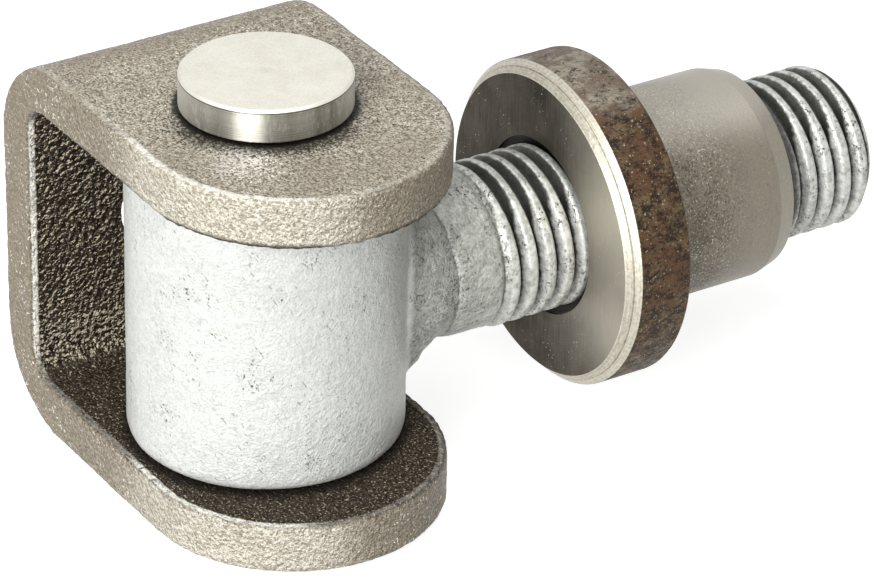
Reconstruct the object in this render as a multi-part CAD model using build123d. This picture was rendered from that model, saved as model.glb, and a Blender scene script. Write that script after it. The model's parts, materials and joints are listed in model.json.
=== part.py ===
"""Adjustable gate hinge: a bent clevis bracket, a headed pin, a forged eye bolt and a flanged weld nut.

Frame, in millimetres: the origin is the centre of the bracket's outer (post) face, +X runs from the post
face towards the free ends of the ears, +Y is the way the stud points and +Z is up along the hinge pin.
"""
from build123d import *
import math
import os

# Bracket: one flat bar bent to a U
plate = 6.0
bar_width = 36.0
throat = 36.0
post_to_pin = 30.0
pin_to_ear_round = 6.0
bend_outer_radius = 12.0
bend_inner_radius = 3.5
bracket_rim_chamfer = 0.9
post_hole_diameter = 11.0

# Hinge pin: turned, with a flat disc head
pin_diameter = 12.0
pin_head_diameter = 20.0
pin_head_height = 4.0
pin_head_chamfer = 0.4
pin_tip_projection = 1.0
pin_tip_chamfer = 1.5

# Eye bolt: barrel, forged saddle, round neck and stud
barrel_diameter = 32.5
barrel_rim_chamfer = 1.2
barrel_bore_chamfer = 0.6
stud_drop = 2.0
saddle_margin = 0.9
saddle_root_width = 20.6
saddle_root_depth = 3.4
saddle_reach = 4.0
saddle_end_diameter = 18.4
saddle_sections = 6
neck_diameter = 19.2
neck_length = 6.2
stud_diameter = 20.0
stud_length = 53.5
stud_start_chamfer = 0.4
stud_end_chamfer = 1.6

# Weld nut: turned in one piece, a flange and a boss on one bore
flange_diameter = 40.0
flange_thickness = 8.5
flange_front_chamfer = 1.5
flange_back_chamfer = 0.6
boss_diameter = 26.0
boss_length = 20.0
boss_lead_length = 2.5
boss_lead_depth = 0.7
nut_mouth_chamfer = 1.0
neck_to_nut = 11.0

# Fits
pin_clearance = 0.08
thread_clearance = 0.1
seat_clearance = 0.3

# Sizes and places that follow
bracket_height = throat + 2 * plate
ear_round_x = post_to_pin + pin_to_ear_round
bracket_reach = ear_round_x + bar_width / 2
pin_hole_radius = pin_diameter / 2 + pin_clearance
barrel_radius = barrel_diameter / 2
barrel_height = throat - 2 * seat_clearance
saddle_start = barrel_radius - saddle_root_depth
saddle_end = barrel_radius + saddle_reach
neck_end = saddle_end + neck_length
stud_end = neck_end + stud_length
nut_front = neck_end + neck_to_nut
nut_length = flange_thickness + boss_length


def turned(outline):
    """Solid of revolution about Z from (radius, height) corners."""
    return revolve(Plane.XZ * make_face(Polyline(*outline, close=True)), Axis.Z)


def on_stud(solid, distance):
    """Turn a solid's Z axis the way the stud points and set it a distance from the pin axis."""
    return Pos(post_to_pin, distance, -stud_drop) * Rot(-90, 0, 0) * solid


def bent_section():
    """Side view of the bent bar: a U with wide outer and small inner corners."""
    outer = Pos(bracket_reach / 2, 0) * Rectangle(bracket_reach, bracket_height)
    outer = fillet(outer.vertices().group_by(Axis.X)[0], bend_outer_radius)
    inner = Pos(plate + bracket_reach / 2, 0) * Rectangle(bracket_reach, throat)
    inner = fillet(inner.vertices().group_by(Axis.X)[0], bend_inner_radius)
    return outer - inner


def ear_outline():
    """Top view of the bracket: a bar with a round free end."""
    bar = Pos(ear_round_x / 2, 0) * Rectangle(ear_round_x, bar_width)
    return bar + Pos(ear_round_x, 0) * Circle(bar_width / 2)


def is_rim(edge):
    """True for the edges where the broad faces of the bent bar meet its cut sides."""
    middle = edge @ 0.5
    on_side = math.isclose(abs(middle.Y), bar_width / 2, abs_tol=1e-4)
    on_end = edge.geom_type == GeomType.CIRCLE and middle.X > ear_round_x
    across_ear = abs(edge.tangent_at(0.5).Z) > 0.99 and middle.X > plate + bend_inner_radius
    return (on_side or on_end) and not across_ear


def u_bracket():
    """The bar bent to a U, with bevelled rims, a pin hole in each ear and a bolt hole in the web."""
    bent = extrude(Plane.XZ * bent_section(), amount=bar_width / 2, both=True)
    bent &= extrude(ear_outline(), amount=bracket_height / 2, both=True)
    bent = chamfer(bent.edges().filter_by(is_rim), bracket_rim_chamfer)
    bent -= Pos(post_to_pin, 0, 0) * Cylinder(pin_hole_radius, bracket_height)
    return bent - Rot(0, 90, 0) * Cylinder(post_hole_diameter / 2, 2 * plate)


def hinge_pin():
    """A turned pin through both ears and the eye, hung from its disc head."""
    tip = -bracket_height / 2 - pin_tip_projection
    seat = bracket_height / 2 + seat_clearance
    top = seat + pin_head_height
    pin_radius = pin_diameter / 2
    head_radius = pin_head_diameter / 2
    outline = [
        (0, tip),
        (pin_radius - pin_tip_chamfer, tip),
        (pin_radius, tip + pin_tip_chamfer),
        (pin_radius, seat),
        (head_radius, seat),
        (head_radius, top - pin_head_chamfer),
        (head_radius - pin_head_chamfer, top),
        (0, top),
    ]
    return Pos(post_to_pin, 0, 0) * turned(outline)


def barrel():
    """The eye's barrel, with bevelled rims."""
    blank = Cylinder(barrel_radius, barrel_height)
    return chamfer(blank.edges().filter_by(GeomType.CIRCLE), barrel_rim_chamfer)


def barrel_bore():
    """What is bored out of the barrel for the pin, with a chamfer at each mouth."""
    end = barrel_height / 2
    mouth = pin_hole_radius + barrel_bore_chamfer
    outline = [
        (0, -end),
        (mouth, -end),
        (pin_hole_radius, barrel_bore_chamfer - end),
        (pin_hole_radius, end - barrel_bore_chamfer),
        (mouth, end),
        (0, end),
    ]
    return turned(outline)


def saddle():
    """Forged saddle: nearly as tall as the barrel at its root, it sweeps in to the end of the shank."""
    end_radius = saddle_end_diameter / 2
    root_half_height = barrel_height / 2 - stud_drop - saddle_margin
    sections = []
    for step in range(saddle_sections + 1):
        share = step / saddle_sections
        flare = (1 + math.cos(math.pi * share)) / 2
        half_width = end_radius + flare * (saddle_root_width / 2 - end_radius)
        half_height = end_radius + flare * (root_half_height - end_radius)
        distance = saddle_start + share * (saddle_end - saddle_start)
        sections.append(Plane.XZ.offset(-distance) * Ellipse(half_width, half_height))
    root = extrude(sections[0], amount=saddle_start / 2)
    return root + loft(sections)


def shank():
    """Round neck and stud in one turned form; the stud is plain at its thread's outer diameter."""
    neck_radius = neck_diameter / 2
    stud_radius = stud_diameter / 2
    outline = [
        (0, saddle_end - saddle_reach),
        (saddle_end_diameter / 2, saddle_end - saddle_reach),
        (saddle_end_diameter / 2, saddle_end),
        (neck_radius, saddle_end),
        (neck_radius, neck_end),
        (stud_radius, neck_end + stud_start_chamfer),
        (stud_radius, stud_end - stud_end_chamfer),
        (stud_radius - stud_end_chamfer, stud_end),
        (0, stud_end),
    ]
    return Rot(-90, 0, 0) * turned(outline)


def eye_bolt():
    """The forging: barrel, saddle, neck and stud as one piece, bored for the pin."""
    stem = Pos(0, 0, -stud_drop) * (saddle() + shank())
    return Pos(post_to_pin, 0, 0) * (barrel() + stem - barrel_bore())


def weld_nut():
    """Flanged nut turned in one piece: its flange faces the eye and its boss goes into the gate."""
    bore_radius = stud_diameter / 2 + thread_clearance
    mouth_radius = bore_radius + nut_mouth_chamfer
    flange_radius = flange_diameter / 2
    boss_radius = boss_diameter / 2
    outline = [
        (mouth_radius, 0),
        (flange_radius - flange_front_chamfer, 0),
        (flange_radius, flange_front_chamfer),
        (flange_radius, flange_thickness - flange_back_chamfer),
        (flange_radius - flange_back_chamfer, flange_thickness),
        (boss_radius, flange_thickness),
        (boss_radius, nut_length - boss_lead_length),
        (boss_radius - boss_lead_depth, nut_length),
        (mouth_radius, nut_length),
        (bore_radius, nut_length - nut_mouth_chamfer),
        (bore_radius, nut_mouth_chamfer),
    ]
    return on_stud(turned(outline), nut_front)


def main():
    """Write one STEP file for each piece."""
    pieces = {
        "u_bracket": u_bracket(),
        "hinge_pin": hinge_pin(),
        "eye_bolt": eye_bolt(),
        "weld_nut": weld_nut(),
    }
    os.makedirs("parts", exist_ok=True)
    for name, shape in pieces.items():
        export_step(shape, f"parts/{name}.step")


main()
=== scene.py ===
"""Adjustable gate hinge: grit-blasted bracket, turned pin, galvanised eye bolt and turned weld nut.

All lengths are metres in the hinge's own frame: +X from the post face to the ears' free ends, +Y the way
the stud points and +Z up along the hinge pin.
"""
import json
import logging
import math
from contextlib import contextmanager
from dataclasses import dataclass, field
from enum import Enum, IntEnum
from typing import Callable, Iterator, Optional, Union

import bmesh
import bpy
from mathutils import Matrix, Vector, noise


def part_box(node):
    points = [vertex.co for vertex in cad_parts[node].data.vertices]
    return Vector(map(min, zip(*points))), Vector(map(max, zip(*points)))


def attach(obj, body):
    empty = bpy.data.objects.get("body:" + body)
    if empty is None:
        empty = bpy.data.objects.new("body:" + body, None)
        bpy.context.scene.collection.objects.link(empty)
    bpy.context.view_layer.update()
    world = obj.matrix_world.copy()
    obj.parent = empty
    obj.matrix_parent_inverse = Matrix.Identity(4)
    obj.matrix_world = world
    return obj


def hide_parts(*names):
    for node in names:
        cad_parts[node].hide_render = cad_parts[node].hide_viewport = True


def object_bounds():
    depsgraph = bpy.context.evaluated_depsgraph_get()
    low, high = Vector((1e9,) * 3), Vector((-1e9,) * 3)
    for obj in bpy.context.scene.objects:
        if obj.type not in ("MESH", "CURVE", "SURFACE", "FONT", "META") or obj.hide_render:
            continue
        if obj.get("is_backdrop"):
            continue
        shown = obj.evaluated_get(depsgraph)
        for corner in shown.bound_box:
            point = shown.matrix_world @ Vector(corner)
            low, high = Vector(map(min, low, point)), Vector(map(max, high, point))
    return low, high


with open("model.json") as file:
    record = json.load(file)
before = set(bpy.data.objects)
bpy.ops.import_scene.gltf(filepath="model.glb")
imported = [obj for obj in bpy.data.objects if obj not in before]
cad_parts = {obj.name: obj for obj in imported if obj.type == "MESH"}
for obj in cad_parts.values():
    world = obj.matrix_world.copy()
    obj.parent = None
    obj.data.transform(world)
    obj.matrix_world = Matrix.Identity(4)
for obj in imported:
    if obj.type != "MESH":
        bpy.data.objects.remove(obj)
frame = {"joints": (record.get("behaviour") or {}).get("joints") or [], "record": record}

log = logging.getLogger("gate_hinge")

Colour = tuple[float, float, float]
Point = tuple[float, float]
Place = tuple[float, float, float]
Socket = bpy.types.NodeSocket
Piece = bpy.types.Object
Material = bpy.types.Material
Tint = Union[Socket, Colour]
Relief = tuple[Union[float, str], ...]


def mm(value: float) -> float:
    """Return a length given in millimetres as metres."""
    return value * 0.001


def near(place: float, *offsets: float) -> list[float]:
    """Return places that lie so many millimetres beyond one place."""
    return [place + mm(offset) for offset in offsets]


def mount(name: str) -> dict:
    """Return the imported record's mount of that name."""
    return next(m for m in frame["record"]["mounts"] if m["name"] == name)


def joint(name: str) -> dict:
    """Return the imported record's joint of that name."""
    return next(j for j in frame["joints"] if j["name"] == name)


PIN_X = joint("eye_swing")["pos_m"][0]
STUD_Z = mount("nut_boss")["pos_m"][2]

# The pin's axis at the origin's height, and the point where the stud's axis crosses the pin's
ON_PIN = Vector((PIN_X, 0, 0))
ON_BOTH = Vector((PIN_X, 0, STUD_Z))

# Level bearings from the pin: to the camera, to the picture's right and to the middle of the painted highlight on
# the head's side
TO_CAMERA = (0.843, -0.539)
TO_RIGHT = (0.539, 0.842)
TO_GLEAM = (0.712, -0.702)

# Points nearer to each other than this are merged, and points nearer to a cut than this lie on it
MERGED = mm(0.002)
ON_CUT = mm(0.0005)

# Places of Y and Z in a vector
AXIS_Y, AXIS_Z = 1, 2


class Slot(Enum):
    """The record's material slots."""

    BRACKET = "blasted_steel"
    PIN = "turned_stainless"
    EYE_BOLT = "galvanised_zinc"
    NUT = "turned_steel"


class Zone(IntEnum):
    """The nut's finishes, in the order of its materials."""

    FACE = 0
    CHAMFER = 1
    RIM = 2
    BOSS = 3


class Bench:
    """Hand tools: each one works on a piece with the operators used at the bench."""

    @staticmethod
    def pick(*pieces: Piece) -> None:
        """Select these pieces alone and make the first one active.

        Args:
            pieces: The pieces, the active one first.
        """
        bpy.ops.object.select_all(action="DESELECT")
        for piece in pieces:
            piece.select_set(True)
        bpy.context.view_layer.objects.active = pieces[0]

    @staticmethod
    @contextmanager
    def editing(piece: Piece, action: str = "SELECT") -> Iterator[bmesh.types.BMesh]:
        """Hold a piece in edit mode.

        Args:
            piece: The mesh to edit.
            action: Whether all of it is selected at first, or DESELECT for nothing.

        Returns:
            Its edit mesh, for choosing faces and edges by place.
        """
        Bench.pick(piece)
        bpy.ops.object.mode_set(mode="EDIT")
        bpy.ops.mesh.select_mode(type="VERT")
        bpy.ops.mesh.select_all(action=action)
        yield bmesh.from_edit_mesh(piece.data)
        bpy.ops.object.mode_set(mode="OBJECT")

    @staticmethod
    def modify(piece: Piece, kind: str, **settings: object) -> None:
        """Add one modifier with these settings and apply it.

        Args:
            piece: The piece to change.
            kind: The modifier's type.
            settings: Its settings by name.
        """
        Bench.pick(piece)
        bpy.ops.object.modifier_add(type=kind)
        modifier = piece.modifiers[-1]
        for name, value in settings.items():
            setattr(modifier, name, value)
        bpy.ops.object.modifier_apply(modifier=modifier.name)

    @staticmethod
    def weld(piece: Piece) -> None:
        """Merge doubled points and turn all faces outwards.

        Args:
            piece: The mesh to clean.
        """
        with Bench.editing(piece):
            bpy.ops.mesh.remove_doubles(threshold=MERGED)
            bpy.ops.mesh.normals_make_consistent(inside=False)

    @staticmethod
    def cut(piece: Piece, tool: Piece) -> None:
        """Cut a piece with a tool body and clear the tool away."""
        Bench.modify(piece, "BOOLEAN", operation="DIFFERENCE", object=tool, solver="EXACT")
        bpy.data.objects.remove(tool)

    @staticmethod
    def place(piece: Piece, place: Vector, turn: Place = (0, 0, 0)) -> None:
        """Turn and move a piece, and keep its place in its mesh.

        Args:
            piece: The piece to move.
            place: Where its origin goes.
            turn: Its turn about X, Y and Z.
        """
        piece.rotation_euler = turn
        piece.location = place
        Bench.pick(piece)
        bpy.ops.object.transform_apply(location=True, rotation=True, scale=True)

    @staticmethod
    def onto_stud(piece: Piece) -> None:
        """Lay a piece made along +Z from the pin's axis onto the stud's axis."""
        Bench.place(piece, ON_BOTH, (-math.pi / 2, 0, 0))

    @staticmethod
    def draw(name: str, points: list[Point], closed: bool = False) -> Piece:
        """Draw a half section by extruding one point from corner to corner.

        Args:
            name: The new piece's name.
            points: (radius, height) corners.
            closed: Whether the last corner joins the first.

        Returns:
            A chain of edges in the XZ plane.
        """
        bpy.ops.mesh.primitive_plane_add(size=mm(1))
        piece = bpy.context.object
        piece.name = name
        first = Vector((points[0][0], 0, points[0][1]))
        with Bench.editing(piece):
            bpy.ops.mesh.merge(type="CENTER")
            bpy.ops.transform.translate(value=first)
            for before, after in zip(points, points[1:]):
                step = (after[0] - before[0], 0, after[1] - before[1])
                bpy.ops.mesh.extrude_vertices_move(TRANSFORM_OT_translate={"value": step})
            if closed:
                mesh = bmesh.from_edit_mesh(piece.data)
                mesh.verts.ensure_lookup_table()
                ends = [v for v in mesh.verts if len(v.link_edges) == 1]
                for end in ends:
                    end.select_set(True)
                bpy.ops.mesh.edge_face_add()
        return piece

    @staticmethod
    def sweep(piece: Piece, steps: int, rise: float = 0.0, turns: int = 1) -> None:
        """Turn a half section about Z, with a rise at each turn for a thread.

        Args:
            piece: The half section.
            steps: The number of steps in one turn.
            rise: How far it climbs in one turn.
            turns: How many turns it makes.
        """
        Bench.modify(
            piece, "SCREW", axis="Z", angle=2 * math.pi, steps=steps, render_steps=steps,
            screw_offset=rise, iterations=turns, use_merge_vertices=False,
        )
        Bench.weld(piece)

    @staticmethod
    def turned(name: str, points: list[Point], steps: int, closed: bool = False) -> Piece:
        """Turn a piece about Z from its half section.

        Args:
            name: The new piece's name.
            points: (radius, height) corners.
            steps: The number of steps in the turn.
            closed: Whether the last corner joins the first.

        Returns:
            The turned piece.
        """
        piece = Bench.draw(name, points, closed)
        Bench.sweep(piece, steps)
        return piece

    @staticmethod
    def drill(piece: Piece, radius: float, depth: float, place: Vector, turn: Place = (0, 0, 0)) -> None:
        """Drill a round hole, its middle at a place and its axis turned from Z."""
        bpy.ops.mesh.primitive_cylinder_add(vertices=128, radius=radius, depth=depth, location=place, rotation=turn)
        Bench.cut(piece, bpy.context.object)

    @staticmethod
    def roughen(piece: Piece, size: float, height: float, depth: int, group: str = "") -> None:
        """Raise and sink the surface by a cloud pattern.

        Args:
            piece: The mesh to shape.
            size: Length of one cloud.
            height: From the lowest to the highest point.
            depth: How many finer layers the pattern has.
            group: The points to shape, or all of them.
        """
        pattern = bpy.data.textures.new(piece.name + "_relief", type="CLOUDS")
        pattern.noise_scale = size
        pattern.noise_depth = depth
        Bench.modify(
            piece, "DISPLACE", texture=pattern, texture_coords="LOCAL", direction="NORMAL",
            strength=height, mid_level=0.5, vertex_group=group,
        )

    @staticmethod
    def skin(piece: Piece, voxel: float, rounds: int) -> None:
        """Give a piece one even skin and relax it by so many rounds."""
        Bench.modify(piece, "REMESH", mode="VOXEL", voxel_size=voxel, adaptivity=0.0)
        Bench.modify(piece, "SMOOTH", factor=0.5, iterations=rounds)

    @staticmethod
    def smooth(piece: Piece, degrees: float) -> None:
        """Shade a piece smooth, apart from its sharp edges."""
        Bench.pick(piece)
        bpy.ops.object.shade_smooth_by_angle(angle=math.radians(degrees))

    @staticmethod
    def hand_over(piece: Piece, node: str, body: str, slot: Slot) -> None:
        """Let a finished piece stand for a CAD node and ride on its body.

        Args:
            piece: The finished piece.
            node: The node it replaces.
            body: The body it rides on.
            slot: Its material slot; not used.
        """
        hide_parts(node)
        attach(piece, body)


def soft_corner(before: Point, corner: Point, after: Point, radius: float, steps: int = 4) -> list[Point]:
    """Return the points of a small arc that rounds one corner of a half section.

    Args:
        before: The corner before this one.
        corner: The corner to round.
        after: The corner after this one.
        radius: The arc's radius.
        steps: The number of edges in the arc.

    Returns:
        The arc's points, from the side of before to the side of after.
    """
    at = Vector(corner)
    inward = (Vector(before) - at).normalized()
    outward = (Vector(after) - at).normalized()
    half = inward.angle(outward) / 2
    reach = radius / math.tan(half)
    middle = at + (inward + outward).normalized() * (radius / math.sin(half))
    start = at + inward * reach - middle
    end = at + outward * reach - middle
    first = math.atan2(start.y, start.x)
    sweep = math.remainder(math.atan2(end.y, end.x) - first, 2 * math.pi)
    angles = [first + sweep * step / steps for step in range(steps + 1)]
    return [(middle.x + radius * math.cos(angle), middle.y + radius * math.sin(angle)) for angle in angles]


def rounded(corners: list[tuple[float, ...]]) -> list[Point]:
    """Return a half section from its corners.

    Args:
        corners: Radius and height, then, for a rounded corner, its rounding and the number of edges in it.

    Returns:
        The half section's points.
    """
    points = []
    for before, corner, after in zip([corners[-1], *corners], corners, [*corners[1:], corners[0]]):
        points += soft_corner(before[:2], corner[:2], after[:2], *corner[2:]) if corner[2:] else [corner]
    return points


def sign(operation: str) -> Callable[["Wire", "Number"], "Wire"]:
    """Return a method that works out a wire and another number by one Math node.

    Args:
        operation: The Math node's operation.

    Returns:
        The method.
    """
    def method(wire: "Wire", other: "Number") -> "Wire":
        """Return the result."""
        return wire.tree.maths(operation, wire, other)

    return method


@dataclass(frozen=True)
class Wire:
    """A number that a node tree works out, used with the plain signs; a | keeps the greater of two."""

    tree: "NodeTree"
    socket: Socket
    __add__ = sign("ADD")
    __sub__ = sign("SUBTRACT")
    __mul__ = sign("MULTIPLY")
    __truediv__ = sign("DIVIDE")
    __or__ = sign("MAXIMUM")

    def __rsub__(self, other: float) -> "Wire":
        """Return a plain number less this one."""
        return self.tree.maths("SUBTRACT", other, self)

    def __abs__(self) -> "Wire":
        """Return the number without its sign."""
        return self.tree.maths("ABSOLUTE", self)

    def band(self, low: float, high: float, start: float, end: float) -> "Wire":
        """Follow this number smoothly from one value to another.

        Args:
            low: Where the way starts.
            high: Where it ends.
            start: The value below low.
            end: The value above high.

        Returns:
            The value here.
        """
        inputs = {"Value": self, "From Min": low, "From Max": high, "To Min": start, "To Max": end}
        node = self.tree.node("ShaderNodeMapRange", inputs, interpolation_type="SMOOTHSTEP")
        return Wire(self.tree, node.outputs["Result"])

    def rise(self, low: float, high: float, top: float = 1.0) -> "Wire":
        """Return 0 below low and top above high, with a smooth way between."""
        return self.band(low, high, 0.0, top)

    def fall(self, low: float, high: float, top: float = 1.0) -> "Wire":
        """Return top below low and 0 above high, with a smooth way between."""
        return self.band(low, high, top, 0.0)


Number = Union[Wire, float]


class NodeTree:
    """A node tree while it is written."""

    def __init__(self, tree: bpy.types.NodeTree) -> None:
        """Start writing in a tree."""
        self.tree = tree

    def plug(self, value: object, socket: Socket) -> None:
        """Join a node's output to an input, or set a constant there.

        Args:
            value: A wire, an output or a constant.
            socket: The input.
        """
        value = value.socket if isinstance(value, Wire) else value
        if isinstance(value, Socket):
            self.tree.links.new(value, socket)
        else:
            socket.default_value = value

    def node(self, kind: str, inputs: dict, **settings: object) -> bpy.types.Node:
        """Add a node, set its options and fill its inputs.

        Args:
            kind: The node's type.
            inputs: What goes into its inputs, by name or number.
            settings: Its options by name.

        Returns:
            The node.
        """
        made = self.tree.nodes.new(kind)
        for name, value in settings.items():
            setattr(made, name, value)
        for key, value in inputs.items():
            self.plug(value, made.inputs[key])
        return made

    def maths(self, operation: str, *values: Number) -> Wire:
        """Return the result of one Math node."""
        return Wire(self, self.node("ShaderNodeMath", dict(enumerate(values)), operation=operation).outputs[0])

    def seen(self) -> Wire:
        """Tell the rays that show a surface from those that only light.

        Returns:
            1 for rays from the camera, off gloss or through glass, and 0 for the others.
        """
        rays = self.node("ShaderNodeLightPath", {}).outputs
        camera, glossy, clear = (Wire(self, rays[f"Is {kind} Ray"]) for kind in ("Camera", "Glossy", "Transmission"))
        return camera | glossy | clear


class Recipe(NodeTree):
    """A material while it is written, on Object coordinates."""

    def __init__(self, name: str, specular: float = 0.5) -> None:
        """Start a material with one Principled shader.

        Args:
            name: The material's name.
            specular: The strength of its plain gloss.
        """
        self.material = bpy.data.materials.new(name)
        self.material.use_nodes = True
        super().__init__(self.material.node_tree)
        self.shader = self.tree.nodes["Principled BSDF"]
        self.place = self.node("ShaderNodeTexCoord", {}).outputs["Object"]
        self.feed("Specular IOR Level", specular)

    def feed(self, name: str, value: object) -> None:
        """Join a value to a shader input, or set it there."""
        self.plug(value, self.shader.inputs[name])

    def noise(self, size: float, detail: float = 3.0, rough: float = 0.5, at: Optional[Socket] = None) -> Wire:
        """Return a noise whose spots are about size across, from 0 to 1."""
        inputs = {"Vector": at or self.place, "Scale": 1 / size, "Detail": detail, "Roughness": rough}
        return Wire(self, self.node("ShaderNodeTexNoise", inputs).outputs["Fac"])

    def slope(self, size: float, shift: Place, detail: float = 2.0) -> Wire:
        """Return how much a noise rises along a shift: a relief in slanting light, level at 0.5."""
        there = self.vector("ADD", self.place, shift).outputs[0]
        return self.noise(size, detail, 0.6, at=there) - self.noise(size, detail, 0.6) + 0.5

    def vector(self, operation: str, *values: object) -> bpy.types.Node:
        """Return a Vector Math node."""
        return self.node("ShaderNodeVectorMath", dict(enumerate(values)), operation=operation)

    def blend(self, share: Number, first: Tint, second: Tint, mode: str = "MIX") -> Socket:
        """Mix two colours.

        Args:
            share: The share of the second one.
            first: The first colour.
            second: The second colour.
            mode: How they mix.

        Returns:
            The mixed colour.
        """
        first, second = (tint if isinstance(tint, Socket) else (*tint, 1.0) for tint in (first, second))
        inputs = {0: share, 6: first, 7: second}
        return self.node("ShaderNodeMix", inputs, data_type="RGBA", blend_type=mode).outputs[2]

    def coats(self, under: Tint, *coats: tuple[Number, Tint]) -> Tint:
        """Lay coats over a colour, one after the other.

        Args:
            under: The colour below.
            coats: The share and the colour of each coat.

        Returns:
            The colour on top.
        """
        for share, over in coats:
            under = self.blend(share, under, over)
        return under

    def split(self) -> tuple[Wire, ...]:
        """Return a place's X, Y and Z."""
        return tuple(Wire(self, part) for part in self.node("ShaderNodeSeparateXYZ", {0: self.place}).outputs)

    def join(self, x: Number = 0.0, y: Number = 0.0, z: Number = 0.0) -> Socket:
        """Return a place from its X, Y and Z."""
        return self.node("ShaderNodeCombineXYZ", {0: x, 1: y, 2: z}).outputs[0]

    def stretch(self, scale: Place, turn: Place = (0, 0, 0)) -> Socket:
        """Return the Object coordinates turned, then drawn out so that a pattern on them grows by a scale."""
        inputs = {"Vector": self.place, "Rotation": turn, "Scale": scale}
        return self.node("ShaderNodeMapping", inputs, vector_type="TEXTURE").outputs["Vector"]

    def distance(self, point: Place) -> Wire:
        """Return the distance from a point."""
        return Wire(self, self.vector("DISTANCE", self.place, point).outputs["Value"])

    def length(self, across: Wire, up: Wire) -> Wire:
        """Return the length of two legs at right angles."""
        return self.maths("SQRT", across * across + up * up)

    def from_stud(self) -> Wire:
        """Return the distance from the stud's axis."""
        x, _, z = self.split()
        return self.length(x - PIN_X, z - STUD_Z)

    def from_pin(self) -> Wire:
        """Return the distance from the pin's axis."""
        x, y, _ = self.split()
        return self.length(x - PIN_X, y)

    def ahead(self, bearing: Point) -> Wire:
        """Return how far a place lies from the pin's axis on a level bearing."""
        x, y, _ = self.split()
        return (x - PIN_X) * bearing[0] + y * bearing[1]

    def brush(self, axis: str, strength: float) -> None:
        """Draw the highlights out across tool marks that run round an axis.

        Args:
            axis: The axis.
            strength: How far they are drawn out.
        """
        tangent = self.node("ShaderNodeTangent", {}, direction_type="RADIAL", axis=axis)
        self.feed("Anisotropic", strength)
        self.feed("Anisotropic Rotation", 0.25)
        self.feed("Tangent", tangent.outputs["Tangent"])

    def finished(self, body: Socket, metal: Number, rough: Number, *layers: tuple[Wire, float]) -> Material:
        """Join everything to the shader.

        Args:
            body: The base colour.
            metal: The share of metal.
            rough: The roughness.
            layers: The bump's layers, each a pattern with its height in metres.

        Returns:
            The finished material.
        """
        self.feed("Base Color", body)
        self.feed("Metallic", metal)
        self.feed("Roughness", rough)
        below = {}
        for pattern, height in layers:
            inputs = {"Height": pattern, "Distance": height, "Strength": 1.0, **below}
            below = {"Normal": self.node("ShaderNodeBump", inputs).outputs["Normal"]}
        self.feed("Normal", below["Normal"])
        return self.material


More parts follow.
